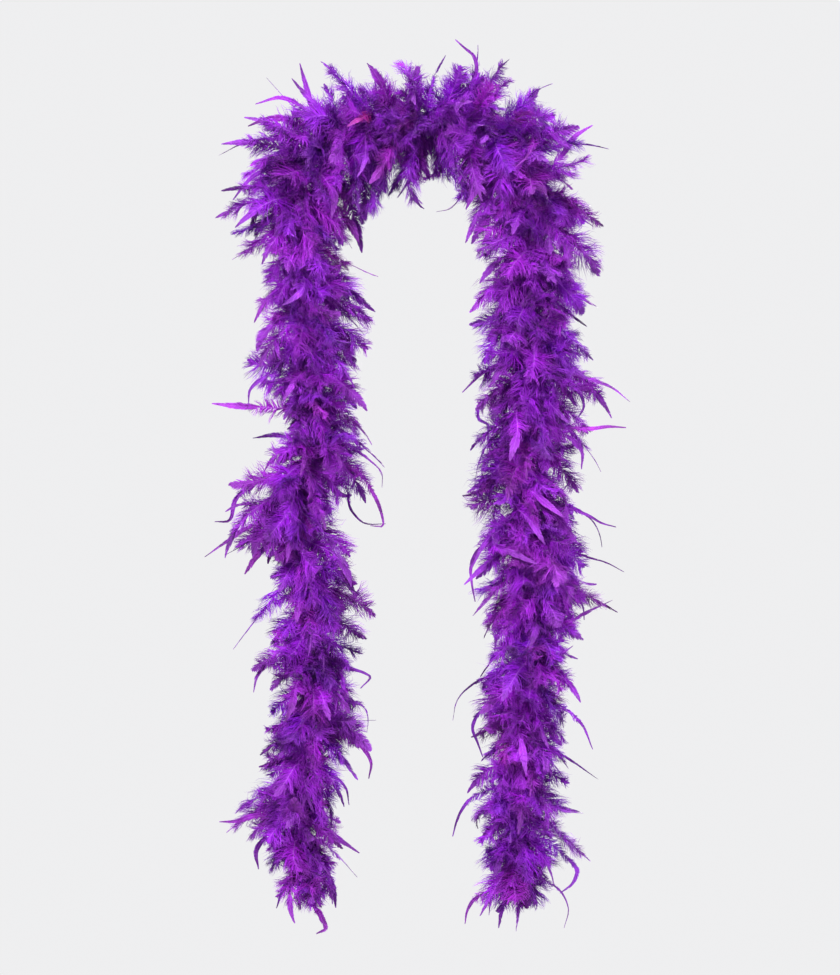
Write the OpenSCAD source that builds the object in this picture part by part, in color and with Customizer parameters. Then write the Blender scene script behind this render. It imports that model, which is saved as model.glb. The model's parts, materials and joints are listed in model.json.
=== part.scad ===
// Feather boa hanging in an arch over a neck or a peg, with two free tails of four links each.
// The origin is the middle of the cord at the top of the arch. +Z is up and the boa is thinnest along Y.

/* [Cord] */
// Diameter over the two twisted strands of the core cord
cord_d = 6; // [5:0.5:7]
// Length of thread wrapped over the quills of one ring of feathers
binding_len = 5; // [3:0.5:7]
// Thickness of the layer of binding thread
thread_t = 0.8; // [0.5:0.1:1.2]

/* [Feather rings] */
// Distance along the cord from one ring of feathers to the next, at most
ring_pitch = 27; // [24:1:32]
// Feathers in one ring
ring_count = 7; // [5:1:7]
// Turn from one ring to the next, in degrees
ring_turn = 33; // [20:1:40]

/* [Feathers] */
// Length of a pointed plume
plume_len = 66; // [55:1:72]
// Width of a pointed plume
plume_w = 14; // [8:1:16]
// Length of a short down feather
down_len = 52; // [40:1:58]
// Width of a short down feather
down_w = 18; // [10:1:19]
// Width of a long wisp
wisp_w = 9; // [6:1:12]
// Height of a feather's ridge, where its quill runs
ridge_h = 1.6; // [1.2:0.1:1.8]

/* [Droop] */
// Lean of the arch's feathers from square to the cord, at the quill
arch_lean = 4; // [0:1:12]
// Lean of the tails' feathers from square to the cord, at the quill
tail_lean = 26; // [15:1:36]
// Lean of the last feathers at each end
end_lean = 52; // [40:1:60]
// How much further a feather leans at its tip
droop = 24; // [10:1:30]

/* [End knots] */
// Length of the thread whipping above each end knot
whipping_len = 8; // [6:1:10]
// Radius of the loop inside each end knot
knot_r = 4; // [3.5:0.5:5]

/* [Hidden] */
BODIES = ["arch", "left_1", "left_2", "left_3", "left_4", "right_1", "right_2", "right_3", "right_4"];
ENDS = ["left", "right"];

// The cord's route, from the left end over the arch to the right end
ROUTE = [
    [-114, 0, -764], [-124, 2, -712], [-118, 0, -656], [-108, -3, -600],
    [-110, 0, -545], [-112, 3, -488], [-124, 0, -430], [-120, -3, -374],
    [-112, 0, -318], [-110, 2, -260], [-112, 2, -204], [-120, 0, -146],
    [-124, 0, -90], [-108, 0, -46], [-76, 0, -16], [-40, 0, -3],
    [0, 0, 0], [40, 0, -3], [76, 0, -16], [106, 0, -46],
    [118, 0, -90], [114, 0, -146], [112, 2, -204], [114, 2, -260],
    [108, 0, -318], [100, -3, -374], [104, 0, -430], [112, 3, -488],
    [112, 0, -545], [106, -3, -600], [100, 0, -656], [98, 2, -712],
    [94, 0, -764]];
APEX = 16;                // the route's point at the top of the arch
JOINTS = [4, 7, 10, 13];  // the route's points that bend, counted from the top to either end
STEPS = 4;                // smooth points for each stretch of the route
LINKS = 4;                // links in each tail

cord_r = cord_d / 2;
cord_sides = 8;
cord_step = 30;           // longest straight stretch of the cord's tube
bend_gap = 0.3;           // clearance between two links of the cord
joint_margin = 12;        // from a bend to the nearest ring of feathers
end_margin = 20;          // from the cord's end to its last ring of feathers
free_margin = 58;         // plumes nearer than this to a bend would meet the next link
binding_gap = 2;          // from a binding to the quills it holds
quill_r = 0.8;            // half width of a bare quill
root_depth = 1;           // how far a quill is caught inside the cord
droop_from = 60;          // distance from the top of the arch where the feathers start to droop
droop_to = 190;           // distance from the top where they droop fully
end_zone = 70;            // length at each end where the feathers gather into a tuft
roll_mean = 38;           // roll of the feathers about their quills
roll_range = 50;          // how far the feathers differ in roll
lean_range = 7;           // how far the feathers differ in lean

// Outlines of a plume and of a down feather: share of the length, share of the half width
PLUME = [[0, 0], [0.2, 0.4], [0.52, 1], [0.82, 0.72]];
DOWN = [[0, 0], [0.16, 0.5], [0.5, 1], [0.84, 0.76]];

// Long wisps: body, the ring they follow, turn, length
WISPS = [
    [0, 7, 12, 78], [0, 10, 4, 76], [0, 1, 8, 96], [0, 0, -24, 84],
    [3, 0, -8, 102], [4, 2, 14, 84],
    [5, 5, 12, 104], [6, 0, -14, 98], [7, 0, 10, 98]];

function frac(x) = x - floor(x);
function vary(k) = frac(k * 0.618034);
function unit(v) = v / norm(v);
function mix(a, b, f) = a + (b - a) * min(1, max(0, f));
function reversed(v) = [for (i = [len(v) - 1 : -1 : 0]) v[i]];

// Smooth curve through the route, and the distance walked along it
function point(i) = ROUTE[min(len(ROUTE) - 1, max(0, i))];
function curve(i, f) = let (a = point(i - 1), b = point(i), c = point(i + 1), d = point(i + 2))
    b + f * (c - a) / 2 + f * f * (a - 2.5 * b + 2 * c - d / 2) + f * f * f * (3 * b - 3 * c + d - a) / 2;
smooth = [
    for (i = [0 : len(ROUTE) - 2], k = [0 : STEPS - 1]) curve(i, k / STEPS),
    point(len(ROUTE) - 1)];
function step_len(i) = i + 1 < len(smooth) ? norm(smooth[i + 1] - smooth[i]) : 0;
walked = [for (i = 0, s = 0; i < len(smooth); s = s + step_len(i), i = i + 1) s];

// A place on the cord is its distance s from the top of the arch, below 0 on the left
tables = [for (k = [0 : 2])
    [for (i = [0 : len(smooth) - 1]) [walked[i] - walked[STEPS * APEX], smooth[i][k]]]];
function at(s) = [for (k = [0 : 2]) lookup(s, tables[k])];
function station(p) = walked[STEPS * p] - walked[STEPS * APEX];
// Unit vectors there: along the cord to the right end, out of the arch, to the back, and to the nearer end
function along(s) = unit(at(s + 4) - at(s - 4));
function outward(s) = unit(cross(along(s), [0, 1, 0]));
function back(s) = cross(outward(s), along(s));
function tailward(s) = (s < 0 ? -1 : 1) * along(s);

// The stretch of cord that each body holds, from its end nearer the top. The arch runs from left to right.
function tail_stop(sd, k) = station(APEX + sd * (k < LINKS ? JOINTS[k] : APEX));
function stretch(b) = let (sd = b > LINKS ? 1 : -1, k = (b - 1) % LINKS)
    b == 0 ? [tail_stop(-1, 0), tail_stop(1, 0)] : [tail_stop(sd, k), tail_stop(sd, k + 1)];
function is_last(b) = b > 0 && b % LINKS == 0;
function way(b) = b == 0 || b > LINKS ? 1 : -1;

// Rings of feathers, spread evenly over a body
function ring_from(b) = stretch(b)[0] + way(b) * joint_margin;
function ring_to(b) = stretch(b)[1] - way(b) * (is_last(b) ? end_margin : joint_margin);
function ring_steps(b) = ceil(abs(ring_to(b) - ring_from(b)) / ring_pitch);
function ring_at(b, i) = mix(ring_from(b), ring_to(b), i / ring_steps(b));
// A ring whose plumes stay clear of the next link through its whole swing. Every third is enough on the arch.
function is_free(b, i) = let (r = stretch(b), s = ring_at(b, i))
    min(abs(s - r[0]), abs(s - r[1])) > free_margin && (b > 0 || i % 3 == 0);
function is_plume(i, j) = (i + j) % 2 == 0;
function lean_at(s) = let (left = tail_stop(sign(s), LINKS) * sign(s) - abs(s))
    left < end_zone ? mix(end_lean, tail_lean, left / end_zone)
    : mix(arch_lean, tail_lean, (abs(s) - droop_from) / (droop_to - droop_from));

// Moves its children's Z axis onto the cord
module on_cord(s) {
    x = outward(s);
    y = -back(s);
    z = along(s);
    p = at(s);
    multmatrix([for (k = [0 : 2]) [x[k], y[k], z[k], p[k]]]) children();
}

// One closed feather that starts inside the cord: a curved leaf with its quill as a ridge on both faces
module feather(s, turn, length, width, lean, roll, outline) {
    out = outward(s) * cos(turn) + back(s) * sin(turn);
    down = tailward(s);
    flat = cross(down, out);
    curl = length / (droop * PI / 180);
    start = at(s) + out * (cord_r - root_depth);
    function quill(f) = start + curl * ((sin(lean + droop * f) - sin(lean)) * out
                                        + (cos(lean) - cos(lean + droop * f)) * down);
    function section(f, half) = let (
        a = lean + droop * f,
        top = out * sin(a) - down * cos(a),
        wide = half * (flat * cos(roll) + top * sin(roll)),
        ridge = ridge_h / 2 * (top * cos(roll) - flat * sin(roll)),
        c = quill(f))
        [c - wide, c - ridge, c + wide, c + ridge];
    rows = [for (o = outline) section(o[0], max(quill_r, o[1] * width / 2))];
    last = 4 * (len(rows) - 1);
    // Both faces of the leaf are split along the same lines, so that they never cross
    polyhedron(
        [for (r = rows, p = r) p, quill(1)],
        [[0, 1, 2, 3],
         for (k = [0 : 4 : last - 4], e = [0, 2], n = [1, 3]) let (edge = k + e, mid = k + n)
             each (e + 1) % 4 == n ? [[edge, mid + 4, mid], [edge, edge + 4, mid + 4]]
                                   : [[edge, mid, mid + 4], [edge, mid + 4, edge + 4]],
         for (e = [0 : 3]) [last + e, last + 4, last + (e + 1) % 4]]);
}

module ring_feather(b, i, j) {
    s = ring_at(b, i);
    k = ring_count * (i + 11 * b) + j;
    lean = lean_at(s) + lean_range * (vary(3 * k) - 0.5);
    roll = roll_mean + roll_range * (vary(5 * k + 2) - 0.5);
    size = 0.86 + 0.28 * vary(k);
    turn = 360 / ring_count * j + ring_turn * i;
    if (is_plume(i, j)) feather(s, turn, plume_len * size, plume_w, lean, roll, PLUME);
    else feather(s, turn, down_len * size, down_w, lean, roll, DOWN);
}

module cord(b) {
    r = stretch(b);
    short = way(b) * (cord_r + bend_gap);
    near = b == 0 ? r[0] + short : r[0];
    far = is_last(b) ? r[1] : r[1] - short;
    steps = ceil(abs(far - near) / cord_step);
    tube = [for (i = [0 : steps]) [mix(near, far, i / steps), cord_r]];
    dome = [near - way(b) * 0.8 * cord_r, 0.5 * cord_r];
    rings = b == 0 ? tube : b > LINKS ? concat([dome], tube) : concat(reversed(tube), [dome]);
    last = cord_sides * (len(rings) - 1);
    color("indigo") polyhedron(
        [for (q = rings, e = [0 : cord_sides - 1]) let (a = 360 / cord_sides * e)
            at(q[0]) + q[1] * (cos(a) * outward(q[0]) + sin(a) * back(q[0]))],
        [[for (e = [0 : cord_sides - 1]) e],
         for (k = [0 : cord_sides : last - 1], e = [0 : cord_sides - 1])
             let (a = k + e, b = k + (e + 1) % cord_sides)
             each [[a, b + cord_sides, b], [a, a + cord_sides, b + cord_sides]],
         [for (e = [cord_sides - 1 : -1 : 0]) last + e]]);
}

module thread_wrap(length)
    linear_extrude(length, center = true) difference() {
        circle(cord_r + thread_t, $fn = cord_sides);
        circle(cord_r, $fn = cord_sides);
    }

module binding(b)
    color("rebeccapurple") for (i = [0 : ring_steps(b)]) {
        s = ring_at(b, i);
        on_cord(s - sign(s) * (binding_gap + binding_len / 2)) thread_wrap(binding_len);
    }

// Plumes in the middle of a body, which the neck, a shoulder or a hand meets first
module plumes(b)
    color("mediumorchid") for (i = [0 : ring_steps(b)], j = [0 : ring_count - 1])
        if (is_free(b, i) && is_plume(i, j)) ring_feather(b, i, j);

// The other plumes, which give way where the boa bends, and the long wisps
module wisps(b)
    color("darkorchid") {
        for (i = [0 : ring_steps(b)], j = [0 : ring_count - 1])
            if (!is_free(b, i) && is_plume(i, j)) ring_feather(b, i, j);
        for (w = WISPS) if (w[0] == b) {
            s = ring_at(b, w[1] + 0.5);
            feather(s, w[2], w[3], wisp_w, lean_at(s), 0, PLUME);
        }
    }

module fluff(b)
    color("blueviolet") for (i = [0 : ring_steps(b)], j = [0 : ring_count - 1])
        if (!is_plume(i, j)) ring_feather(b, i, j);

module whipping(sd)
    color("rebeccapurple")
        on_cord(tail_stop(sd, LINKS) - sd * (2 * cord_r + whipping_len / 2)) thread_wrap(whipping_len);

// Overhand knot, as the ring of cord that it pulls tight into
module knot(sd)
    color("indigo") on_cord(tail_stop(sd, LINKS) - sd * cord_r)
        rotate_extrude($fn = 32) translate([knot_r, 0]) circle(cord_r, $fn = 24);

for (b = [0 : len(BODIES) - 1]) {
    cord(b);
    binding(b);
    plumes(b);
    wisps(b);
    fluff(b);
}
for (e = [0, 1]) {
    whipping(2 * e - 1);
    knot(2 * e - 1);
}
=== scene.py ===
"""Looks of the feather boa: cord, thread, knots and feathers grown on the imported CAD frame. Metres, +Z up."""
import json
import math

import bpy
import numpy as np
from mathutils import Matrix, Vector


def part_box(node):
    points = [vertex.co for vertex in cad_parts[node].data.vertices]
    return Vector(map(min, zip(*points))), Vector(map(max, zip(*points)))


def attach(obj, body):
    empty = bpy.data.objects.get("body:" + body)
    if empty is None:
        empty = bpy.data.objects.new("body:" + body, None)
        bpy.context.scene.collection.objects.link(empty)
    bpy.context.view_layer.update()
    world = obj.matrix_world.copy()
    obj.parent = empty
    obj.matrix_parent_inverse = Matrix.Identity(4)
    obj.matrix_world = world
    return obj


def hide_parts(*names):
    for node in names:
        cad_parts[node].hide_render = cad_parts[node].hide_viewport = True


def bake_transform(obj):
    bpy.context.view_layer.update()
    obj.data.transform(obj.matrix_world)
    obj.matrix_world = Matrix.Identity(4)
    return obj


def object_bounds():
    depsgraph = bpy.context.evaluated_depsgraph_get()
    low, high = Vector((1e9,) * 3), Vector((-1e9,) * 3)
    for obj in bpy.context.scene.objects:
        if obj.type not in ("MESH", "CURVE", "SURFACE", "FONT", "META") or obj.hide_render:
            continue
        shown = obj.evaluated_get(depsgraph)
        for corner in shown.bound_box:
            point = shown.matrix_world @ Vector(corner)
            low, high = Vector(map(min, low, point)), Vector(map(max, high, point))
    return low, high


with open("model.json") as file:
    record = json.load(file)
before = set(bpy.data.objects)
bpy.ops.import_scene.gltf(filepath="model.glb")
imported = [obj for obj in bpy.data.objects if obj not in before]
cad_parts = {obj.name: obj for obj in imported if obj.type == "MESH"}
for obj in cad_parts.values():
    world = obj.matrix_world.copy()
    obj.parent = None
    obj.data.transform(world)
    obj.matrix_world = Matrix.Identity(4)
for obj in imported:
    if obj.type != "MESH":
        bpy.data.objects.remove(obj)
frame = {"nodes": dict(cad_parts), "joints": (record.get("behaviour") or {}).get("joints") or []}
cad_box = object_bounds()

rng = np.random.default_rng(11)
MM = 0.001

# ---------------- camera

FRAME_HEIGHT = 0.975      # height of the picture at the boa
CAMERA_DISTANCE = 4.2
SENSOR = 36.0             # mm across the camera's sensor


def middle_of(box):
    """Middle of a box given as its lowest and highest corner."""
    return (np.array(box[0]) + np.array(box[1])) / 2


def add_camera():
    """Looks straight at the middle of the boa through a long lens."""
    middle = middle_of(cad_box)
    data = bpy.data.cameras.new("camera")
    data.sensor_width = SENSOR
    data.lens = SENSOR * CAMERA_DISTANCE / FRAME_HEIGHT
    camera = bpy.data.objects.new("camera", data)
    camera.location = (middle[0], -CAMERA_DISTANCE, middle[2])
    camera.rotation_euler = (math.pi / 2, 0, 0)
    bpy.context.scene.collection.objects.link(camera)
    bpy.context.scene.camera = camera


add_camera()

# ---------------- the cord's route

# Middle of the cord from the left end over the arch to the right end: x, y, z
ROUTE = MM * np.array([
    [-114, 0, -764], [-124, 2, -712], [-118, 0, -656], [-108, -3, -600],
    [-110, 0, -545], [-112, 3, -488], [-124, 0, -430], [-120, -3, -374],
    [-112, 0, -318], [-110, 2, -260], [-112, 2, -204], [-120, 0, -146],
    [-124, 0, -90], [-108, 0, -46], [-76, 0, -16], [-40, 0, -3],
    [0, 0, 0], [40, 0, -3], [76, 0, -16], [106, 0, -46],
    [118, 0, -90], [114, 0, -146], [112, 2, -204], [114, 2, -260],
    [108, 0, -318], [100, -3, -374], [104, 0, -430], [112, 3, -488],
    [112, 0, -545], [106, -3, -600], [100, 0, -656], [98, 2, -712],
    [94, 0, -764]])
APEX = 16                 # the route's point at the top of the arch
STEPS = 24                # smooth points for each stretch of the route
NEARBY = 4 * MM           # how far ahead and behind the cord's direction is measured


def distances(points):
    """Distance along a line of points to each of them."""
    return np.concatenate([[0], np.cumsum(np.linalg.norm(np.diff(points, axis=0), axis=1))])


def smooth_route():
    """Catmull-Rom curve through the route, with each point's signed distance from the top of the arch."""
    ends = np.vstack([ROUTE[:1], ROUTE, ROUTE[-1:]])
    a, b, c, d = (ends[k:len(ends) - 3 + k, None, :] for k in range(4))
    f = (np.arange(STEPS) / STEPS)[None, :, None]
    curve = b + f * (c - a) / 2 + f**2 * (a - 2.5 * b + 2 * c - d / 2) + f**3 * (3 * b - 3 * c + d - a) / 2
    points = np.vstack([curve.reshape(-1, 3), ROUTE[-1:]])
    walked = distances(points)
    return points, walked - walked[APEX * STEPS]


CURVE, WALKED = smooth_route()


def at(s):
    """Points of the cord at signed distances s from the top of the arch, below 0 on the left."""
    return np.stack([np.interp(s, WALKED, CURVE[:, k]) for k in range(3)], axis=-1)


def smooth_between(knots, values, places):
    """Values at places, on a smooth curve through the knots."""
    slope = np.gradient(values, knots)
    k = np.clip(np.searchsorted(knots, places, side="right") - 1, 0, len(knots) - 2)
    gap = knots[k + 1] - knots[k]
    f = (places - knots[k]) / gap
    return (values[k] * (1 + 2 * f) * (1 - f)**2 + gap * slope[k] * f * (1 - f)**2
            + values[k + 1] * f**2 * (3 - 2 * f) - gap * slope[k + 1] * f**2 * (1 - f))


def unit(v):
    """Vectors of length 1 the same way."""
    return v / np.maximum(np.linalg.norm(v, axis=-1, keepdims=True), 1e-12)


def swung(a, b, angle):
    """Directions at each angle from a towards b."""
    return np.cos(angle)[:, None] * a + np.sin(angle)[:, None] * b


def along(s):
    """Directions along the cord towards its right end."""
    return unit(at(s + NEARBY) - at(s - NEARBY))


def outward(s):
    """Directions out of the arch, in the plane of the boa."""
    return unit(np.cross(along(s), [0.0, 1.0, 0.0]))


def back(s):
    """Directions away from the viewer."""
    return np.cross(outward(s), along(s))


# ---------------- mesh helpers

def new_mesh(name, points, triangles, attributes=()):
    """An object of triangles with its point attributes, given as (name, kind, values)."""
    mesh = bpy.data.meshes.new(name)
    mesh.vertices.add(len(points))
    mesh.vertices.foreach_set("co", np.ascontiguousarray(points, np.float32).ravel())
    mesh.loops.add(3 * len(triangles))
    mesh.loops.foreach_set("vertex_index", np.ascontiguousarray(triangles, np.int32).ravel())
    mesh.polygons.add(len(triangles))
    mesh.polygons.foreach_set("loop_start", np.arange(0, 3 * len(triangles), 3, dtype=np.int32))
    mesh.polygons.foreach_set("use_smooth", np.ones(len(triangles), bool))
    mesh.update(calc_edges=True)
    for label, kind, values in attributes:
        layer = mesh.attributes.new(label, kind, "POINT")
        layer.data.foreach_set("vector", np.ascontiguousarray(values, np.float32).ravel())
    thing = bpy.data.objects.new(name, mesh)
    bpy.context.scene.collection.objects.link(thing)
    return thing


def tube(centres, radii, sides=8, normal=None):
    """A closed tube along centres, as points and triangles. Its first ring starts at the normal."""
    ways = unit(np.gradient(centres, axis=0))
    if normal is None:
        normal = np.array([0.0, 1.0, 0.0])
        if abs(ways[0] @ normal) > 0.9:
            normal = np.array([1.0, 0.0, 0.0])
    across = []
    x = unit(normal - (normal @ ways[0]) * ways[0])
    for way in ways:
        x = unit(x - (x @ way) * way)
        across.append(x)
    x = np.array(across)
    y = np.cross(ways, x)
    angle = np.arange(sides) * 2 * math.pi / sides
    ring = x[:, None] * np.cos(angle)[None, :, None] + y[:, None] * np.sin(angle)[None, :, None]
    points = (centres[:, None] + ring * np.asarray(radii, float).reshape(-1, 1, 1)).reshape(-1, 3)
    rows = len(centres)
    k = np.arange(rows - 1)[:, None] * sides
    a = k + np.arange(sides)
    b = k + (np.arange(sides) + 1) % sides
    lower, upper = np.stack([a, b, b + sides], -1), np.stack([a, b + sides, a + sides], -1)
    faces = np.stack([lower, upper], 2).reshape(-1, 3)
    cap = np.arange(1, sides - 1)
    low = np.stack([np.zeros_like(cap), cap + 1, cap], -1)
    high = np.stack([np.zeros_like(cap), cap, cap + 1], -1) + (rows - 1) * sides
    return points, np.vstack([faces, low, high])


def joined(parts):
    """One set of points and triangles from several."""
    points, faces, offset = [], [], 0
    for p, f in parts:
        points.append(p)
        faces.append(f + offset)
        offset += len(p)
    return np.vstack(points), np.vstack(faces)

# ---------------- bodies, bends and the pieces between them

SIDES = {"left": -1, "right": 1}
LINKS = 4


def station_of(point):
    """Signed distance of the curve's point nearest to a point in space."""
    return WALKED[np.argmin(np.linalg.norm(CURVE - np.array(point), axis=1))]


# The cord's distance at each joint, by the joint's child body
BENDS = {joint["child"]: station_of(joint["pos_m"]) for joint in frame["joints"]}


def body_name(side, k):
    """The k-th body from the arch on one side."""
    return "arch" if k == 0 else f"{side}_{k}_link"


class Zone:
    """The cord from the middle of one body to the middle of the next, with the one joint between them."""

    def __init__(self, side, k):
        sign = SIDES[side]
        hinges = [sign * abs(BENDS[body_name(side, i)]) for i in range(1, LINKS + 1)]
        halfway = [(a + b) / 2 for a, b in zip(hinges, hinges[1:])]
        stops = [0.0, *halfway, WALKED[-1] if sign > 0 else WALKED[0]]
        self.side, self.k, self.sign = side, k, sign
        self.label = f"{side}_{k}"
        self.upper, self.lower = body_name(side, k - 1), body_name(side, k)
        self.near, self.far, self.hinge = stops[k - 1], stops[k], hinges[k - 1]

    def holds(self, s):
        """True for distances inside the zone."""
        return (self.sign * s >= self.sign * self.near) & (self.sign * s < self.sign * self.far)

    def bend(self, thing):
        """Bakes the piece's placement into its mesh."""
        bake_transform(thing)


ZONES = [Zone(side, k) for side in SIDES for k in range(1, LINKS + 1)]


def nodes_named(kind, zone):
    """CAD nodes of a kind that a zone's piece stands for: the arch's go with the first zone on the left."""
    names = [f"{kind}_{zone.label}"]
    if zone.side == "left" and zone.k == 1:
        names.append(f"{kind}_arch")
    return names


# ---------------- materials

def principled(name, colour, roughness, **settings):
    """A material with its nodes, links and shader. Settings are the shader's own sockets."""
    material = bpy.data.materials.new(name)
    material.use_nodes = True
    nodes, links = material.node_tree.nodes, material.node_tree.links
    shader = nodes["Principled BSDF"]
    shader.inputs["Base Color"].default_value = (*colour, 1)
    shader.inputs["Roughness"].default_value = roughness
    for socket, value in settings.items():
        shader.inputs[socket.replace("_", " ")].default_value = value
    return material, nodes, links, shader


def ramp(nodes, stops):
    """A colour ramp through stops of (place, colour)."""
    node = nodes.new("ShaderNodeValToRGB")
    ladder = node.color_ramp
    while len(ladder.elements) < len(stops):
        ladder.elements.new(0.5)
    for element, (place, colour) in zip(ladder.elements, stops):
        element.position = place
        element.color = (*colour, 1)
    return node


def noise(nodes, links, scale, detail=3.0, source=None, dimensions="3D"):
    """Soft noise over the object's own space, or over another source of coordinates."""
    node = nodes.new("ShaderNodeTexNoise")
    node.noise_dimensions = dimensions
    node.inputs["Scale"].default_value = scale
    node.inputs["Detail"].default_value = detail
    if source is None:
        source = nodes.new("ShaderNodeTexCoord").outputs["Object"]
    links.new(source, node.inputs["Vector"])
    return node.outputs["Fac"]


def spread(nodes, links, value, low, high, new_low, new_high):
    """Value moved from one range to another, and kept inside it."""
    node = nodes.new("ShaderNodeMapRange")
    for socket, number in zip(("From Min", "From Max", "To Min", "To Max"), (low, high, new_low, new_high)):
        node.inputs[socket].default_value = number
    links.new(value, node.inputs["Value"])
    return node.outputs["Result"]


MIX_FACTOR, MIX_A, MIX_B, MIX_RESULT = 0, 6, 7, 2  # a mix node's sockets when it mixes colours


def mixed(nodes, links, kind, factor, a, b):
    """Two colours mixed. The factor and the colours are sockets or constants."""
    node = nodes.new("ShaderNodeMix")
    node.data_type = "RGBA"
    node.blend_type = kind
    for socket, value in ((MIX_FACTOR, factor), (MIX_A, a), (MIX_B, b)):
        if isinstance(value, bpy.types.NodeSocket):
            links.new(value, node.inputs[socket])
        else:
            node.inputs[socket].default_value = value if socket == MIX_FACTOR else (*value, 1)
    return node.outputs[MIX_RESULT]


def computed(nodes, links, operation, *sockets):
    """Number sockets put through one arithmetic node."""
    node = nodes.new("ShaderNodeMath")
    node.operation = operation
    for k, socket in enumerate(sockets):
        links.new(socket, node.inputs[k])
    return node.outputs[0]


# Dye of a feather by its tint: from bluish to reddish violet, and pink at the very end
DYES = [
    (0.00, (0.096, 0.003, 0.29)), (0.16, (0.130, 0.003, 0.34)), (0.36, (0.165, 0.004, 0.375)),
    (0.60, (0.196, 0.005, 0.37)), (0.80, (0.218, 0.006, 0.35)), (0.95, (0.240, 0.008, 0.33)),
    (0.975, (0.25, 0.004, 0.17)), (1.00, (0.25, 0.004, 0.17))]
TIP_DYE = (0.115, 0.032, 0.175)  # at the feather's tip
QUILL_DYE = (0.30, 0.10, 0.42)   # at the barbs' roots, beside the quill
PAINTED_END_GLOW = (0.29, 0.075, 0.43)   # painted light shining through the barbs' fine ends
MEAN_DYE = (0.25, 0.01, 0.47)
SHEEN_TINT = (0.86, 0.5, 1.0, 1)
PATCHES = 32.0                   # noise scale of the uneven dye
STREAKS = (90.0, 55.0, 1.5)      # streaks by tint, along the quill and along a barb


def feather_material(name, tip_share, roughness, sheen):
    """Dyed feather, with painted light shining through the barbs' fine ends. A point's look is its feather's
    tint, its place up the quill and out along the barb.
    """
    material, nodes, links, shader = principled(
        name, MEAN_DYE, roughness,
        Specular_IOR_Level=0.1, Sheen_Weight=sheen, Sheen_Roughness=0.35, Sheen_Tint=SHEEN_TINT)
    look = nodes.new("ShaderNodeAttribute")
    look.attribute_name = "look"
    split = nodes.new("ShaderNodeSeparateXYZ")
    links.new(look.outputs["Vector"], split.inputs["Vector"])
    tint, place, out = split.outputs
    dye = ramp(nodes, DYES)
    links.new(tint, dye.inputs["Fac"])
    # Dye takes unevenly: in patches, and in fine streaks from barb to barb
    patches = spread(nodes, links, noise(nodes, links, PATCHES), 0.36, 0.64, 0.58, 1.32)
    scaled = nodes.new("ShaderNodeVectorMath")
    scaled.operation = "MULTIPLY"
    scaled.inputs[1].default_value = STREAKS
    links.new(look.outputs["Vector"], scaled.inputs[0])
    streaks = noise(nodes, links, 1.0, 2.0, scaled.outputs[0], "2D")
    streaks = spread(nodes, links, streaks, 0.3, 0.7, 0.78, 1.2)
    strength = computed(nodes, links, "MULTIPLY", patches, streaks)
    tip = spread(nodes, links, place, 0.35, 0.9, 0.0, tip_share)
    colour = mixed(nodes, links, "MIX", tip, dye.outputs["Color"], TIP_DYE)
    away = computed(nodes, links, "ABSOLUTE", out)
    quill = spread(nodes, links, away, 0.0, 0.04, 0.45, 0.0)
    colour = mixed(nodes, links, "MIX", quill, colour, QUILL_DYE)
    # Paler colour towards the barbs' fine ends: painted light shining through them
    painted_glow = spread(nodes, links, away, 0.45, 1.0, 0.0, 0.28)
    colour = mixed(nodes, links, "MIX", painted_glow, colour, PAINTED_END_GLOW)
    grey = nodes.new("ShaderNodeCombineColor")
    for socket in grey.inputs:
        links.new(strength, socket)
    colour = mixed(nodes, links, "MULTIPLY", 1.0, colour, grey.outputs["Color"])
    links.new(colour, shader.inputs["Base Color"])
    return material


def fibre_material(name, colour, painted_groove_shade, scale):
    """Twisted fibres: fine strands, with painted shade for the grooves between them."""
    material, nodes, links, shader = principled(
        name, colour, 0.7, Specular_IOR_Level=0.3, Sheen_Weight=0.3, Sheen_Roughness=0.5)
    # Noise mixes the fibre colour with a darker one: painted shade standing for the grooves
    patches = ramp(nodes, [(0.3, painted_groove_shade), (0.7, colour)])
    links.new(noise(nodes, links, scale), patches.inputs["Fac"])
    links.new(patches.outputs["Color"], shader.inputs["Base Color"])
    bump = nodes.new("ShaderNodeBump")
    bump.inputs["Strength"].default_value = 0.6
    bump.inputs["Distance"].default_value = 0.2 * MM
    links.new(noise(nodes, links, 3 * scale, 6.0), bump.inputs["Height"])
    links.new(bump.outputs["Normal"], shader.inputs["Normal"])
    return material


MATERIALS = {
    "plume": feather_material("plume", 0.6, 0.55, 0.08),
    "down": feather_material("down", 0.2, 0.6, 0.1),
    # The second colour of the cord and of the thread is painted shade for the grooves between their fibres
    "cord": fibre_material("cord", (0.16, 0.012, 0.30), (0.06, 0.004, 0.13), 900.0),
    "thread": fibre_material("thread", (0.10, 0.008, 0.22), (0.04, 0.003, 0.10), 1500.0),
}


def dress(thing, slot, zone, *kinds):
    """Gives a piece its material and the CAD nodes that it stands for, and bakes its placement into its mesh.
    """
    thing.data.materials.append(MATERIALS[slot])
    zone.bend(thing)
    for kind in kinds:
        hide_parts(*nodes_named(kind, zone))


def dress_rigid(thing, slot, zone, *nodes):
    """Gives a piece its material, its one body and the CAD nodes that it stands for."""
    thing.data.materials.append(MATERIALS[slot])
    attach(thing, zone.lower)
    if nodes:
        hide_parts(*nodes)


# ---------------- cord, bindings, whippings and knots

CORD_D = 6 * MM
STRAND_R = 1.6 * MM
STRAND_OFFSET = 1.42 * MM
STRAND_TURN = 13 * MM     # cord for one turn of its two strands
CORD_STEP = 1.6 * MM
THREAD_R = 0.4 * MM
WRAP_STEPS = 13           # points in one turn of thread
WRAP_PROUD = 0.35 * MM    # from the cord's surface to the middle of its thread
BINDING_LENGTH = 5 * MM
BINDING_TURNS = 6
WELD = 0.002 * MM         # CAD points this close together are one point


def spiral(s, offset, angle):
    """Points round the cord at distances s, offset from its middle."""
    return at(s) + offset * swung(outward(s), back(s), angle)


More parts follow.
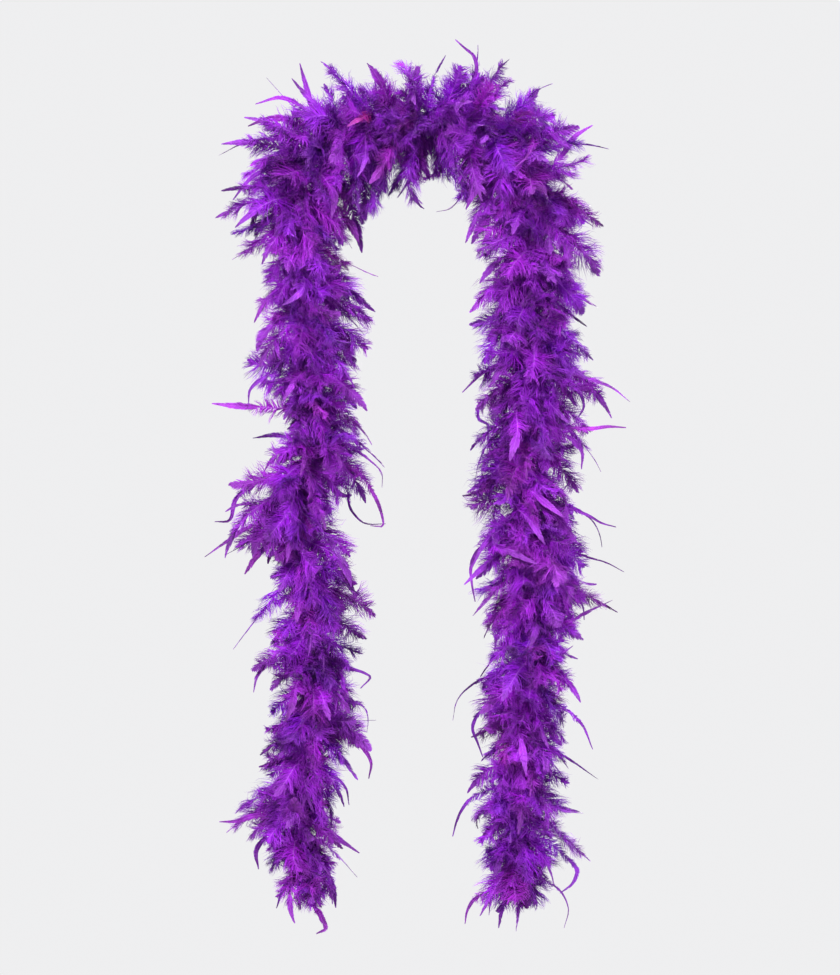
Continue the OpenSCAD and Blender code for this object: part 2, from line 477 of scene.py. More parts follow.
def add_cord(zone):
    """Two twisted strands over one zone."""
    count = int(abs(zone.far - zone.near) / CORD_STEP) + 1
    s = np.linspace(zone.near, zone.far, count)
    strands = [
        tube(spiral(s, STRAND_OFFSET, 2 * math.pi * s / STRAND_TURN + turn), np.full(count, STRAND_R))
        for turn in (0, math.pi)]
    thing = new_mesh(f"cord_strands_{zone.label}", *joined(strands))
    dress(thing, "cord", zone, "cord")


for zone in ZONES:
    add_cord(zone)


def islands(node):
    """Points of each separate solid of a CAD node."""
    mesh = frame["nodes"][node].data
    points = np.empty(3 * len(mesh.vertices), np.float32)
    mesh.vertices.foreach_get("co", points)
    points = points.reshape(-1, 3).astype(float)
    _, first, same = np.unique(np.round(points / WELD).astype(np.int64), axis=0, return_index=True,
                               return_inverse=True)
    edges = np.empty(2 * len(mesh.edges), np.int32)
    mesh.edges.foreach_get("vertices", edges)
    edges = same.ravel()[edges].reshape(-1, 2)
    label = np.arange(len(first))
    while True:
        lowest = label[edges].min(1)
        lower = label.copy()
        np.minimum.at(lower, edges[:, 0], lowest)
        np.minimum.at(lower, edges[:, 1], lowest)
        if (lower == label).all():
            break
        label = lower
    return [points[first[label == k]] for k in np.unique(label)]


def wrap(middle, length, turns):
    """Thread wound round the cord over a length of it."""
    count = turns * WRAP_STEPS
    s = middle + length * (np.linspace(0, 1, count) - 0.5)
    angle = 2 * math.pi * turns * np.linspace(0, 1, count) + middle / MM
    path = spiral(s, CORD_D / 2 + WRAP_PROUD, angle)
    return tube(path, np.full(count, THREAD_R), sides=5, normal=outward(s[:1])[0])


def stations_of(kind, labels):
    """Distances along the cord of the solids in the CAD nodes of one kind."""
    return [station_of(solid.mean(0)) for label in labels for solid in islands(f"{kind}_{label}")]


BODY_LABELS = ["arch"] + [f"{side}_{k}" for side in SIDES for k in range(1, LINKS + 1)]
RINGS = np.array(sorted(stations_of("binding", BODY_LABELS)))
for zone in ZONES:
    wraps = [wrap(s, BINDING_LENGTH - 2 * THREAD_R, BINDING_TURNS) for s in RINGS[zone.holds(RINGS)]]
    dress(new_mesh(f"binding_thread_{zone.label}", *joined(wraps)), "thread", zone, "binding")

KNOT_SCALE = 1.62 * MM    # a third of the knot's reach across
KNOT_RISE = 2.2 * MM      # how far its loops pass above and below each other
KNOT_CORD_R = 2.1 * MM
KNOT_STEPS = 72
TASSEL_COUNT = 26
TASSEL_LENGTH = 13 * MM
TASSEL_SPREAD = 2.4 * MM
TASSEL_TURN = 2.4         # radians from one yarn to the next
YARN_R = 0.45 * MM
WHIPPING_LENGTH = 8 * MM
WHIPPING_TURNS = 10
END_DOWN = 3 * MM         # from the knot's middle to the cord's cut end


def spikes(lines, across, half, sides=2):
    """Spikes along many lines of points, flat with 2 sides: all their points, and the triangles of one."""
    way = unit(np.gradient(lines, axis=1))
    x = unit(across - (across * way).sum(-1, keepdims=True) * way)
    y = np.cross(way, x)
    angle = np.arange(sides) * 2 * math.pi / sides
    n, rows = lines.shape[:2]
    ring = x[:, :-1, None] * np.cos(angle)[:, None] + y[:, :-1, None] * np.sin(angle)[:, None]
    ring = ring * half[:, :-1, None, None]
    points = np.concatenate([(lines[:, :-1, None] + ring).reshape(n, -1, 3), lines[:, -1:]], axis=1)
    faces = [[0, k + 1, k] for k in range(1, sides - 1)]
    for row in range(rows - 1):
        for k in range(sides if sides > 2 else 1):
            a, b = row * sides + k, row * sides + (k + 1) % sides
            if row < rows - 2:
                faces += [[a, b, b + sides], [a, b + sides, a + sides]]
            else:
                faces.append([a, b, (rows - 1) * sides])
    return points, np.array(faces)


def flattened(points, faces):
    """One set of points and triangles from many like spikes."""
    n, size = points.shape[:2]
    return points.reshape(-1, 3), (faces[None] + size * np.arange(n)[:, None, None]).reshape(-1, 3)


def add_end(zone):
    """The overhand knot that stops the cord's end, its whipping and the frayed yarn below it."""
    name = zone.side
    middle = middle_of(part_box(f"knot_{name}"))
    s = station_of(middle)
    down, x, y = zone.sign * along(s), outward(s), back(s)
    t = np.linspace(0, 2 * math.pi, KNOT_STEPS + 1)[:-1]
    loop = (KNOT_SCALE * (np.sin(t) + 2 * np.sin(2 * t))[:, None] * x
            + KNOT_SCALE * (np.cos(t) - 2 * np.cos(2 * t))[:, None] * y
            - KNOT_RISE * np.sin(3 * t)[:, None] * down)
    closed = np.vstack([loop, loop[:3]]) + middle
    knot = new_mesh(f"end_knot_{name}", *tube(closed, np.full(len(closed), KNOT_CORD_R), sides=12))
    dress_rigid(knot, "cord", zone, f"knot_{name}")
    angle = np.arange(TASSEL_COUNT) * TASSEL_TURN
    reach = TASSEL_LENGTH * rng.uniform(0.6, 1.0, TASSEL_COUNT)
    u = np.linspace(0, 1, 6)
    side = swung(x, y, angle)
    opened = TASSEL_SPREAD * np.sqrt(np.arange(TASSEL_COUNT) / TASSEL_COUNT)
    lines = (middle + (END_DOWN + reach[:, None] * u)[..., None] * down
             + (opened[:, None] * (0.7 + 0.9 * u**2))[..., None] * side[:, None])
    half = np.full(lines.shape[:2], YARN_R) * (1 - 0.5 * u)
    yarns = spikes(lines, np.broadcast_to(x, lines.shape), half, 5)
    dress_rigid(new_mesh(f"frayed_end_{name}", *flattened(*yarns)), "cord", zone)
    whipping = station_of(middle_of(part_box(f"whipping_{name}")))
    turns = wrap(whipping, WHIPPING_LENGTH - 2 * THREAD_R, WHIPPING_TURNS)
    dress_rigid(new_mesh(f"whipping_thread_{name}", *turns), "thread", zone, f"whipping_{name}")


for zone in ZONES:
    if zone.k == LINKS:
        add_end(zone)

# ---------------- the flock: numbers for each feather

LOOSE_PLUMES = 130
LOOSE_DOWN = 640
STRAYS = 24               # thin curled feathers with few barbs, which stand out of the fluff
ARCH_FULLER = 1.22        # above 1, the loose feathers stand closer in the arch than in the tails
END_CLEAR = 8 * MM        # cord without loose feathers before each end
END_FLARE = 70 * MM       # cord over which they lean more and more towards the end
ROOT_DEPTH = 2 * MM       # from the cord's middle to a loose feather's root
QUILL_STEPS = 24
QUILL_SIDES = 5
CURL_FROM = 0.4           # share of the quill where its tip's own curl starts
TWIST_FROM = 0.2
DOWN_FROM = 0.04          # share of the quill that is bare at its root
DOWN_OVER = 0.1           # share of the quill with soft barbs as well as the web
DOWN_HALF = 0.36 * MM     # half width of a down barb
LOCK_BARBS = (4, 9)       # barbs in a lock
LOCK_PULL = (0.25, 0.75)  # how far the barbs of a lock close up at their tips
TINT_SPREAD = 0.18
WEB_NOISES = 64           # a feather's own numbers for its web: partings, then wilting, then where they start
WILT_AT, SHIFT_AT = 30, 60


def cad_leaves(kind):
    """Quills and widths of the CAD feathers of one kind, from the four-point sections of their leaves."""
    leaves = np.array([leaf for label in BODY_LABELS for leaf in islands(f"{kind}_{label}")])
    gap = np.array([np.linalg.norm(leaf[:, None] - CURVE, axis=-1).min(1) for leaf in leaves])
    rows = np.arange(len(leaves))
    first = leaves[rows, gap.argmin(1)]
    order = np.argsort(np.linalg.norm(leaves - first[:, None], axis=-1), axis=1)[:, :4]
    root = np.take_along_axis(leaves, order[..., None], 1).mean(1)
    order = np.argsort(np.linalg.norm(leaves - root[:, None], axis=-1), axis=1)
    leaves = np.take_along_axis(leaves, order[..., None], 1)
    middles = np.stack([leaves[:, k:k + 4].mean(1) for k in (0, 4, 8, 12)] + [leaves[:, 16]], axis=1)
    widest = leaves[:, 8:12] - middles[:, 2:3]
    wide = widest[rows, np.linalg.norm(widest, axis=-1).argmax(1)]
    steps = np.linalg.norm(np.diff(middles, axis=1), axis=-1)
    length = steps.sum(1)
    t = np.cumsum(steps, axis=1) / length[:, None]
    fit = np.linalg.pinv(np.stack([t, t**2], axis=-1)) @ (middles[:, 1:] - root[:, None])
    return {"root": root, "a": fit[:, 0], "b": fit[:, 1], "wide": unit(wide), "length": length}


def loose_leaves(count, shortest, longest, lean_spread, most_droop=60):
    """Quills of small feathers tucked in along the cord, between the rings."""
    # They thin out from the arch, which is the fullest, to the ends
    even = 2 * (np.arange(count) + rng.uniform(0, 1, count)) / count - 1
    s = np.sign(even) * (WALKED[-1] - END_CLEAR) * np.abs(even) ** ARCH_FULLER
    turn = rng.uniform(0, 2 * math.pi, count)
    out = swung(outward(s), back(s), turn)
    down = np.sign(s)[:, None] * along(s)
    left = WALKED[-1] - np.abs(s)
    lean = np.radians(np.interp(np.abs(s) / MM, [60, 190], [4, 30]))
    lean = lean + np.radians(25) * np.clip(1 - left / END_FLARE, 0, 1)
    lean = lean + np.radians(lean_spread) * rng.normal(size=count)
    droop = np.radians(rng.uniform(0, most_droop, count))
    length = rng.uniform(shortest, longest, count)
    d0, d1 = swung(out, down, lean), swung(out, down, lean + droop)
    flat = np.cross(down, out)
    wide = swung(flat, np.cross(d0, flat), rng.uniform(-0.9, 0.9, count))
    return {"root": at(s) + ROOT_DEPTH * out, "a": length[:, None] * d0,
            "b": length[:, None] * (d1 - d0) / 2, "wide": wide, "length": length}


# How far the fluff of each tail stands out from the cord: height, to the left, to the right, in mm
TAIL_FLUFF = {
    -1: [(-82, 66, 60), (-102, 56, 42), (-142, 34, 50), (-182, 40, 60), (-222, 50, 60), (-262, 60, 44),
         (-302, 28, 56), (-342, 14, 68), (-362, 46, 72), (-402, 82, 34), (-422, 74, 52), (-442, 42, 64),
         (-462, 14, 60), (-502, 16, 48), (-542, 52, 42), (-582, 34, 45), (-622, 44, 50), (-662, 36, 44),
         (-702, 54, 42), (-742, 34, 42), (-782, 30, 34)],
    1: [(-82, 58, 36), (-102, 50, 46), (-142, 56, 54), (-182, 50, 58), (-222, 54, 46), (-262, 62, 54),
        (-302, 44, 50), (-362, 52, 38), (-402, 48, 66), (-442, 56, 62), (-502, 56, 52), (-542, 50, 36),
        (-582, 52, 44), (-622, 46, 40), (-662, 38, 36), (-702, 46, 56), (-742, 38, 56), (-782, 42, 34)]}
# The same round the arch: distance from its top, outward, inward
ARCH_FLUFF = [(-190, 66, 44), (-150, 72, 60), (-100, 62, 74), (-50, 50, 76), (0, 46, 60), (50, 48, 72),
              (100, 52, 78), (150, 50, 62), (190, 46, 52)]
USUAL_FLUFF = 45.5 * MM
TAIL_FROM, TAIL_FADE = 150 * MM, 60 * MM  # where the tails' table takes over from the arch's
WISP_LENGTH = 77 * MM     # a CAD feather longer than this is a wisp
LEAST_SCALE, MOST_SCALE = 0.45, 1.5


def fullness(leaves):
    """How much longer each feather is than the usual one, so that the fluff has its lumps and thin places."""
    tips = leaves["root"] + leaves["a"] + leaves["b"]
    s = np.array([station_of(p) for p in leaves["root"]])
    way = unit(tips - leaves["root"])
    share = (way * outward(s)).sum(-1)
    stations, out, inner = MM * np.array(ARCH_FLUFF).T
    arch = np.where(share > 0, np.interp(s, stations, out), np.interp(s, stations, inner))
    tail = np.empty(len(s))
    for sign, rows in TAIL_FLUFF.items():
        heights, left, right = MM * np.array(rows[::-1]).T
        mine = np.sign(s) == sign
        tail[mine] = np.where(way[mine, 0] < 0, np.interp(tips[mine, 2], heights, left),
                              np.interp(tips[mine, 2], heights, right))
    tailness = np.clip((np.abs(s) - TAIL_FROM) / TAIL_FADE, 0, 1)
    wanted = arch + (tail - arch) * tailness
    side = np.where(tailness > 0.5, np.abs(way[:, 0]), np.abs(share))
    return 1 + (wanted / USUAL_FLUFF - 1) * np.clip(1.25 * side, 0, 1)


def lumpy(leaves):
    """Feathers grown or shortened to the fluff's reach. The long wisps keep their length."""
    scale = np.clip(fullness(leaves), LEAST_SCALE, MOST_SCALE)
    scale = np.where(leaves["length"] > WISP_LENGTH, 1, scale)
    return leaves | {"a": leaves["a"] * scale[:, None], "b": leaves["b"] * scale[:, None],
                     "length": leaves["length"] * scale, "scale": scale}


def turned(v, about, angle):
    """Vectors turned about unit axes."""
    c, s = np.cos(angle)[..., None], np.sin(angle)[..., None]
    return v * c + np.cross(about, v) * s + about * (about * v).sum(-1, keepdims=True) * (1 - c)


def bent(flock):
    """Points along the quills and directions across them, with each feather's own curl and twist."""
    count = len(flock["root"])
    t = np.linspace(0, 1, QUILL_STEPS + 1)
    way = unit(flock["a"][:, None] + 2 * flock["b"][:, None] * t[:, None])
    wide = unit(flock["wide"])
    normal = unit(np.cross(flock["a"], wide))
    # A curl turns mostly over the feather's face, and partly to one side
    side = rng.uniform(-1, 1, count)[:, None]
    about = np.broadcast_to(unit(wide + 0.9 * side * normal)[:, None], way.shape)
    part = np.clip((t - CURL_FROM) / (1 - CURL_FROM), 0, None) ** 1.3
    curl = (flock["curl_size"] * rng.uniform(-1, 1, count))[:, None] * part
    wave = 0.16 * rng.normal(size=(count, 1))
    curl = curl + wave * np.sin(2 * math.pi * (t + rng.uniform(0, 1, (count, 1))))
    way = turned(way, about, curl)
    across = turned(np.broadcast_to(wide[:, None], way.shape), about, curl)
    twist = (flock["twist_size"] * rng.uniform(-1, 1, count))[:, None] * np.clip(t - TWIST_FROM, 0, None)
    across = turned(across, way, twist)
    steps = (way[:, 1:] + way[:, :-1]) / 2 * (flock["length"] / QUILL_STEPS)[:, None, None]
    walked = np.concatenate([np.zeros((count, 1, 3)), np.cumsum(steps, axis=1)], axis=1)
    return flock["root"][:, None] + walked, across


# A quill may stand past the CAD box by this share of its side, and this much more
SPILL_SHARE, SPILL = 0.03, 2 * MM


def kept_inside(root, quill):
    """Quills shrunk towards their roots where they would stand out too far past the CAD box."""
    low, high = np.array(cad_box)
    spill = SPILL_SHARE * (high - low) + SPILL
    span = quill - root[:, None]
    room = np.where(span > 0, high + spill - root[:, None], low - spill - root[:, None])
    share = np.where(np.abs(span) > 1e-6, room / np.where(span == 0, 1, span), 1).min(axis=(1, 2))
    return root[:, None] + span * np.minimum(share, 1)[:, None, None]


# Each feather's own numbers with their units, and the lowest and highest for each kind of feather.
# Lone ones have no curl and twist here, as they follow their own points.
TRAITS = [("down_reach", MM), ("vane_from", 1), ("vane_half", MM), ("vane_cup", 1), ("quill_r", MM),
          ("curl_size", 1), ("twist_size", 1)]
KINDS = {
    "plumes": ((24, 33), (0.48, 0.84), (4.0, 8.0), (0.0, 0.35), (0.5, 0.7), (0.8, 2.2), (0.5, 3.0)),
    "wisps": ((23, 32), (0.48, 0.84), (3.5, 7.5), (0.0, 0.35), (0.5, 0.7), (0.2, 0.8), (0.5, 3.4)),
    "loose plumes": ((22, 32), (0.50, 0.86), (3.5, 7.5), (0.0, 0.35), (0.5, 0.7), (0.8, 2.2), (0.5, 3.4)),
    "strays": ((6, 11), (0.60, 0.78), (1.6, 3.6), (0.05, 0.5), (0.45, 0.65), (1.0, 2.8), (0.5, 3.4)),
    "lone": ((9, 15), (0.42, 0.56), (1, 1), (0.0, 0.35), (0.45, 0.6)),
    "fluff": ((24, 33), (0.82, 0.92), (2.5, 5), (0.0, 0.4), (0.4, 0.6), (0.5, 1.8), (0.5, 2.6)),
    "loose down": ((20, 30), (0.82, 0.92), (1.5, 4), (0.0, 0.4), (0.3, 0.5), (0.5, 1.8), (0.5, 2.6))}


def flock_of(leaves, kind):
    """Leaves of one kind with each feather's own numbers."""
    count = len(leaves["root"])
    flock = dict(leaves)
    for (trait, size), (low, high) in zip(TRAITS, KINDS[kind]):
        flock[trait] = rng.uniform(low * size, high * size, count)
    flock["down_reach"] = flock["down_reach"] * np.clip(flock["scale"], 0.55, 1.1)
    flock["vane_half"] = flock["vane_half"] * np.clip(flock["scale"], 0.7, 1.1)
    flock["station"] = np.array([station_of(p) for p in flock["root"]])
    if "quill" not in flock:
        quill, flock["across"] = bent(flock)
        flock["quill"] = kept_inside(flock["root"], quill)
    # The soft barbs run a little way up beside the smooth web
    flock["down_to"] = np.minimum(flock["vane_from"] + DOWN_OVER, 0.98)
    if "tint" not in flock:
        flock["tint"] = np.clip(0.5 + TINT_SPREAD * rng.normal(size=count), 0.05, 0.95)
    flock["lock_barbs"] = rng.uniform(*LOCK_BARBS, count)
    flock["lock_pull"] = rng.uniform(*LOCK_PULL, count)
    flock["down_noise"] = rng.normal(size=(count, 2, 6))
    flock["vane_noise"] = rng.normal(size=(count, 2, WEB_NOISES))
    return flock


def merged(flocks):
    """One flock from several."""
    return {trait: np.concatenate([f[trait] for f in flocks]) for trait in flocks[0]}


def sampled(table, i, t):
    """Rows i of a table of vectors along the quills, at t from 0 at the cord to 1 at the tip."""
    x = np.clip(t, 0, 1) * QUILL_STEPS
    k = np.minimum(x.astype(int), QUILL_STEPS - 1)
    f = (x - k)[..., None]
    return table[i, k] * (1 - f) + table[i, k + 1] * f


def quill_frame(flock, i, t):
    """Directions along a quill, across its feather and out of its face."""
    way = unit(sampled(flock["quill"], i, t + 0.02) - sampled(flock["quill"], i, t - 0.02))
    wide = sampled(flock["across"], i, t)
    wide = unit(wide - (wide * way).sum(-1, keepdims=True) * way)
    return way, wide, np.cross(way, wide)


def gathered(lines, locks, pull):
    """Barbs drawn together towards their tips, so that each lock of them ends in one point."""
    tips = lines[:, -1]
    counts = np.maximum(np.bincount(locks), 1)
    middles = np.stack([np.bincount(locks, tips[:, k]) / counts for k in range(3)], axis=-1)
    u = np.linspace(0, 1, lines.shape[1])[None, :, None]
    return lines + pull[:, None, None] * u**1.6 * (middles[locks] - tips)[:, None]


def grow(flock, i, t, side, reach, opened, lift, wave, half, taper, rows, sag, tilt, locks=None):
    """Barbs of feathers i from their quills at t. opened and lift are (at the quill, at the barb's tip)."""
    way, wide, normal = quill_frame(flock, i, t)
    start = sampled(flock["quill"], i, t)

    def heading(k):
        return unit(np.cos(opened[k])[:, None] * way + (side * np.sin(opened[k]))[:, None] * wide
                    + lift[k][:, None] * normal)
    u = np.linspace(0, 1, rows + 1)
    run = reach[:, None, None]
    v = u[:, None]
    lines = start[:, None] + run * (heading(0)[:, None] * (v - v**2 / 2) + heading(1)[:, None] * v**2 / 2)
    n = len(i)
    for direction in (normal, way):
        phase = rng.uniform(0, 1, (n, 1))
        beat = rng.uniform(0.7, 1.5, (n, 1))
        swing = wave[:, None] * u * np.sin(2 * math.pi * (beat * u + phase))
        lines = lines + swing[..., None] * direction[:, None]
    lines[..., 2] -= sag * reach[:, None] * u**2
    if locks is not None:
        lines = gathered(lines, locks, flock["lock_pull"][i])
    flat = swung(way, normal, tilt)
    width = half[:, None] * (1 - taper * u**1.4)
    points, faces = spikes(lines, np.broadcast_to(flat[:, None], lines.shape), width)
    place = np.repeat(t[:, None], 2 * rows + 1, axis=1)
    out = side[:, None] * np.append(np.repeat(u[:-1], 2), 1)[None]
    return points, faces, place, out, i


def places_for(per_side):
    """Each barb's feather, number from the quill's root, side (1 or -1) and side as an index (1 or 0)."""
    i = np.repeat(np.arange(len(per_side)), 2 * per_side)
    k = np.arange(len(i)) - np.repeat(np.cumsum(2 * per_side) - 2 * per_side, 2 * per_side)
    side = np.where(k % 2 == 0, 1.0, -1.0)
    return i, k // 2, side, (side > 0).astype(int)


def down_barbs(flock, spacing):
    """Loose soft barbs on the lower part of the quills."""
    share = flock["down_to"] - DOWN_FROM
    per_side = np.maximum(4, flock["length"] * share / spacing).astype(int)
    i, number, side, hand = places_for(per_side)
    x = (number + rng.uniform(0, 1, len(i))) / per_side[i]
    t = DOWN_FROM + share[i] * x
    bunch = flock["down_noise"][i, hand]
    wander = (bunch[:, 0] * np.sin(2 * math.pi * (1.6 * x + bunch[:, 1]))
              + 0.8 * bunch[:, 2] * np.sin(2 * math.pi * (4.2 * x + bunch[:, 3]))
              + 0.6 * bunch[:, 4] * np.sin(2 * math.pi * (9.0 * x + bunch[:, 5])))
    # Neighbouring barbs cling together in locks, which differ in length and lean
    per_lock = flock["lock_barbs"][i]
    lock = (x * per_side[i] / per_lock + bunch[:, 1]).astype(int)
    locks = np.unique((2 * i + hand) * 1000 + lock, return_inverse=True)[1].ravel()
    lean, bow = rng.normal(size=(2, locks.max() + 1))[:, locks]
    longer = rng.uniform(0.8, 1.12, locks.max() + 1)[locks]
    profile = 0.30 + 0.78 * np.sin(math.pi * (0.16 + 0.70 * x)) - 0.28 * x**2
    reach = flock["down_reach"][i] * profile * longer * rng.uniform(0.72, 1.1, len(i))
    opened = np.radians(66 - 14 * x) + 0.22 * wander + 0.17 * rng.normal(size=len(i))
    closed = opened - np.radians(36) + 0.36 * wander + 0.40 * lean + 0.24 * rng.normal(size=len(i))
    lift = flock["vane_cup"][i] * 0.6 + 0.18 * rng.normal(size=len(i)) + 0.22 * wander
    fall = -0.4 * lift + 0.3 * wander + 0.44 * bow
    half = np.full(len(i), DOWN_HALF)
    return grow(flock, i, t, side, reach, (opened, closed), (lift, fall), wave=0.09 * reach, half=half,
                taper=0.82, rows=4, sag=0.10, tilt=0.35 * rng.normal(size=len(i)), locks=locks)


def vane_barbs(flock, spacing):
    """Barbs that lie side by side as the smooth web of a feather's tip, parted here and there."""
    per_side = np.maximum(3, flock["length"] * (1 - flock["vane_from"]) / spacing).astype(int)
    i, number, side, hand = places_for(per_side)
    x = (number + 0.5) / per_side[i]
    t = flock["vane_from"][i] + (1 - flock["vane_from"][i]) * x
    group = (9 * x + 3 * np.abs(flock["vane_noise"][i, hand, SHIFT_AT])).astype(int)
    parted = flock["vane_noise"][i, hand, group]
    wilt = flock["vane_noise"][i, hand, WILT_AT + group]
    opened = np.radians(50 - 22 * x) + 0.06 * parted
    web = np.minimum(0.4 + 2.4 * x, 1) * (1 - x**1.4)
    reach = (flock["vane_half"][i] * web * (1 + 0.07 * wilt) + 0.6 * MM) / np.sin(np.clip(opened, 0.3, 1.4))
    closed = opened - np.radians(14)
    lift = flock["vane_cup"][i] + 0.06 * parted
    fall = -0.6 * lift + 0.05 * wilt
    half = np.full(len(i), 0.62) * spacing
    return grow(flock, i, t, side, reach, (opened, closed), (lift, fall), wave=reach * 0.012, half=half,
                taper=0.4, rows=3, sag=0.03, tilt=0.2 * rng.normal(size=len(i)))


def quills(flock):
    """The quill of every feather."""
    count = len(flock["root"])
    i = np.arange(count)
    u = np.linspace(0, 1, 11)
    t = np.broadcast_to(u, (count, len(u)))
    rows = np.broadcast_to(i[:, None], t.shape)
    lines = sampled(flock["quill"], rows, t)
    _, wide, _ = quill_frame(flock, rows, t)
    half = flock["quill_r"][:, None] * (1 - 0.8 * u)
    points, faces = spikes(lines, wide, half, QUILL_SIDES)
    place = np.concatenate([np.repeat(t[:, :-1], QUILL_SIDES, axis=1), t[:, -1:]], axis=1)
    return points, faces, place, np.zeros_like(place), i


def add_feathers(name, slot, flock, bundles, *kinds):
    """One piece for each zone from bundles of barbs and quills."""
    for zone in ZONES:
        inside = zone.holds(flock["station"])
        rank = np.cumsum(inside) - 1
        cells = math.ceil(math.sqrt(inside.sum()))
        parts, looks, maps = [], [], []
        for points, faces, place, out, i in bundles:
            mine = inside[i]
            points, place, out, i = points[mine], place[mine], out[mine], i[mine]
            parts.append(flattened(points, faces))
            tint = np.broadcast_to(flock["tint"][i][:, None], place.shape)
            looks.append(np.stack([tint, place, out], -1).reshape(-1, 3))
            cell = rank[i][:, None]
            corner = np.stack([cell % cells, cell // cells], -1)
            # A barb's two edges lie a little apart, so that it covers some of the map
            lean = 0.006 * np.cos(np.arange(points.shape[1]) * math.pi)
            inner = np.stack([0.04 + 0.9 * np.clip(place + lean, 0, 1), 0.5 + 0.45 * out], -1)
            maps.append(((corner + inner) / cells).reshape(-1, 2))
        points, faces = joined(parts)
        thing = new_mesh(f"{name}_{zone.label}", points, faces, [("look", "FLOAT_VECTOR", np.vstack(looks))])
        layer = thing.data.uv_layers.new(name="OFBake")
        layer.data.foreach_set("uv", np.vstack(maps)[faces.ravel()].astype(np.float32).ravel())
        dress(thing, slot, zone, *kinds)


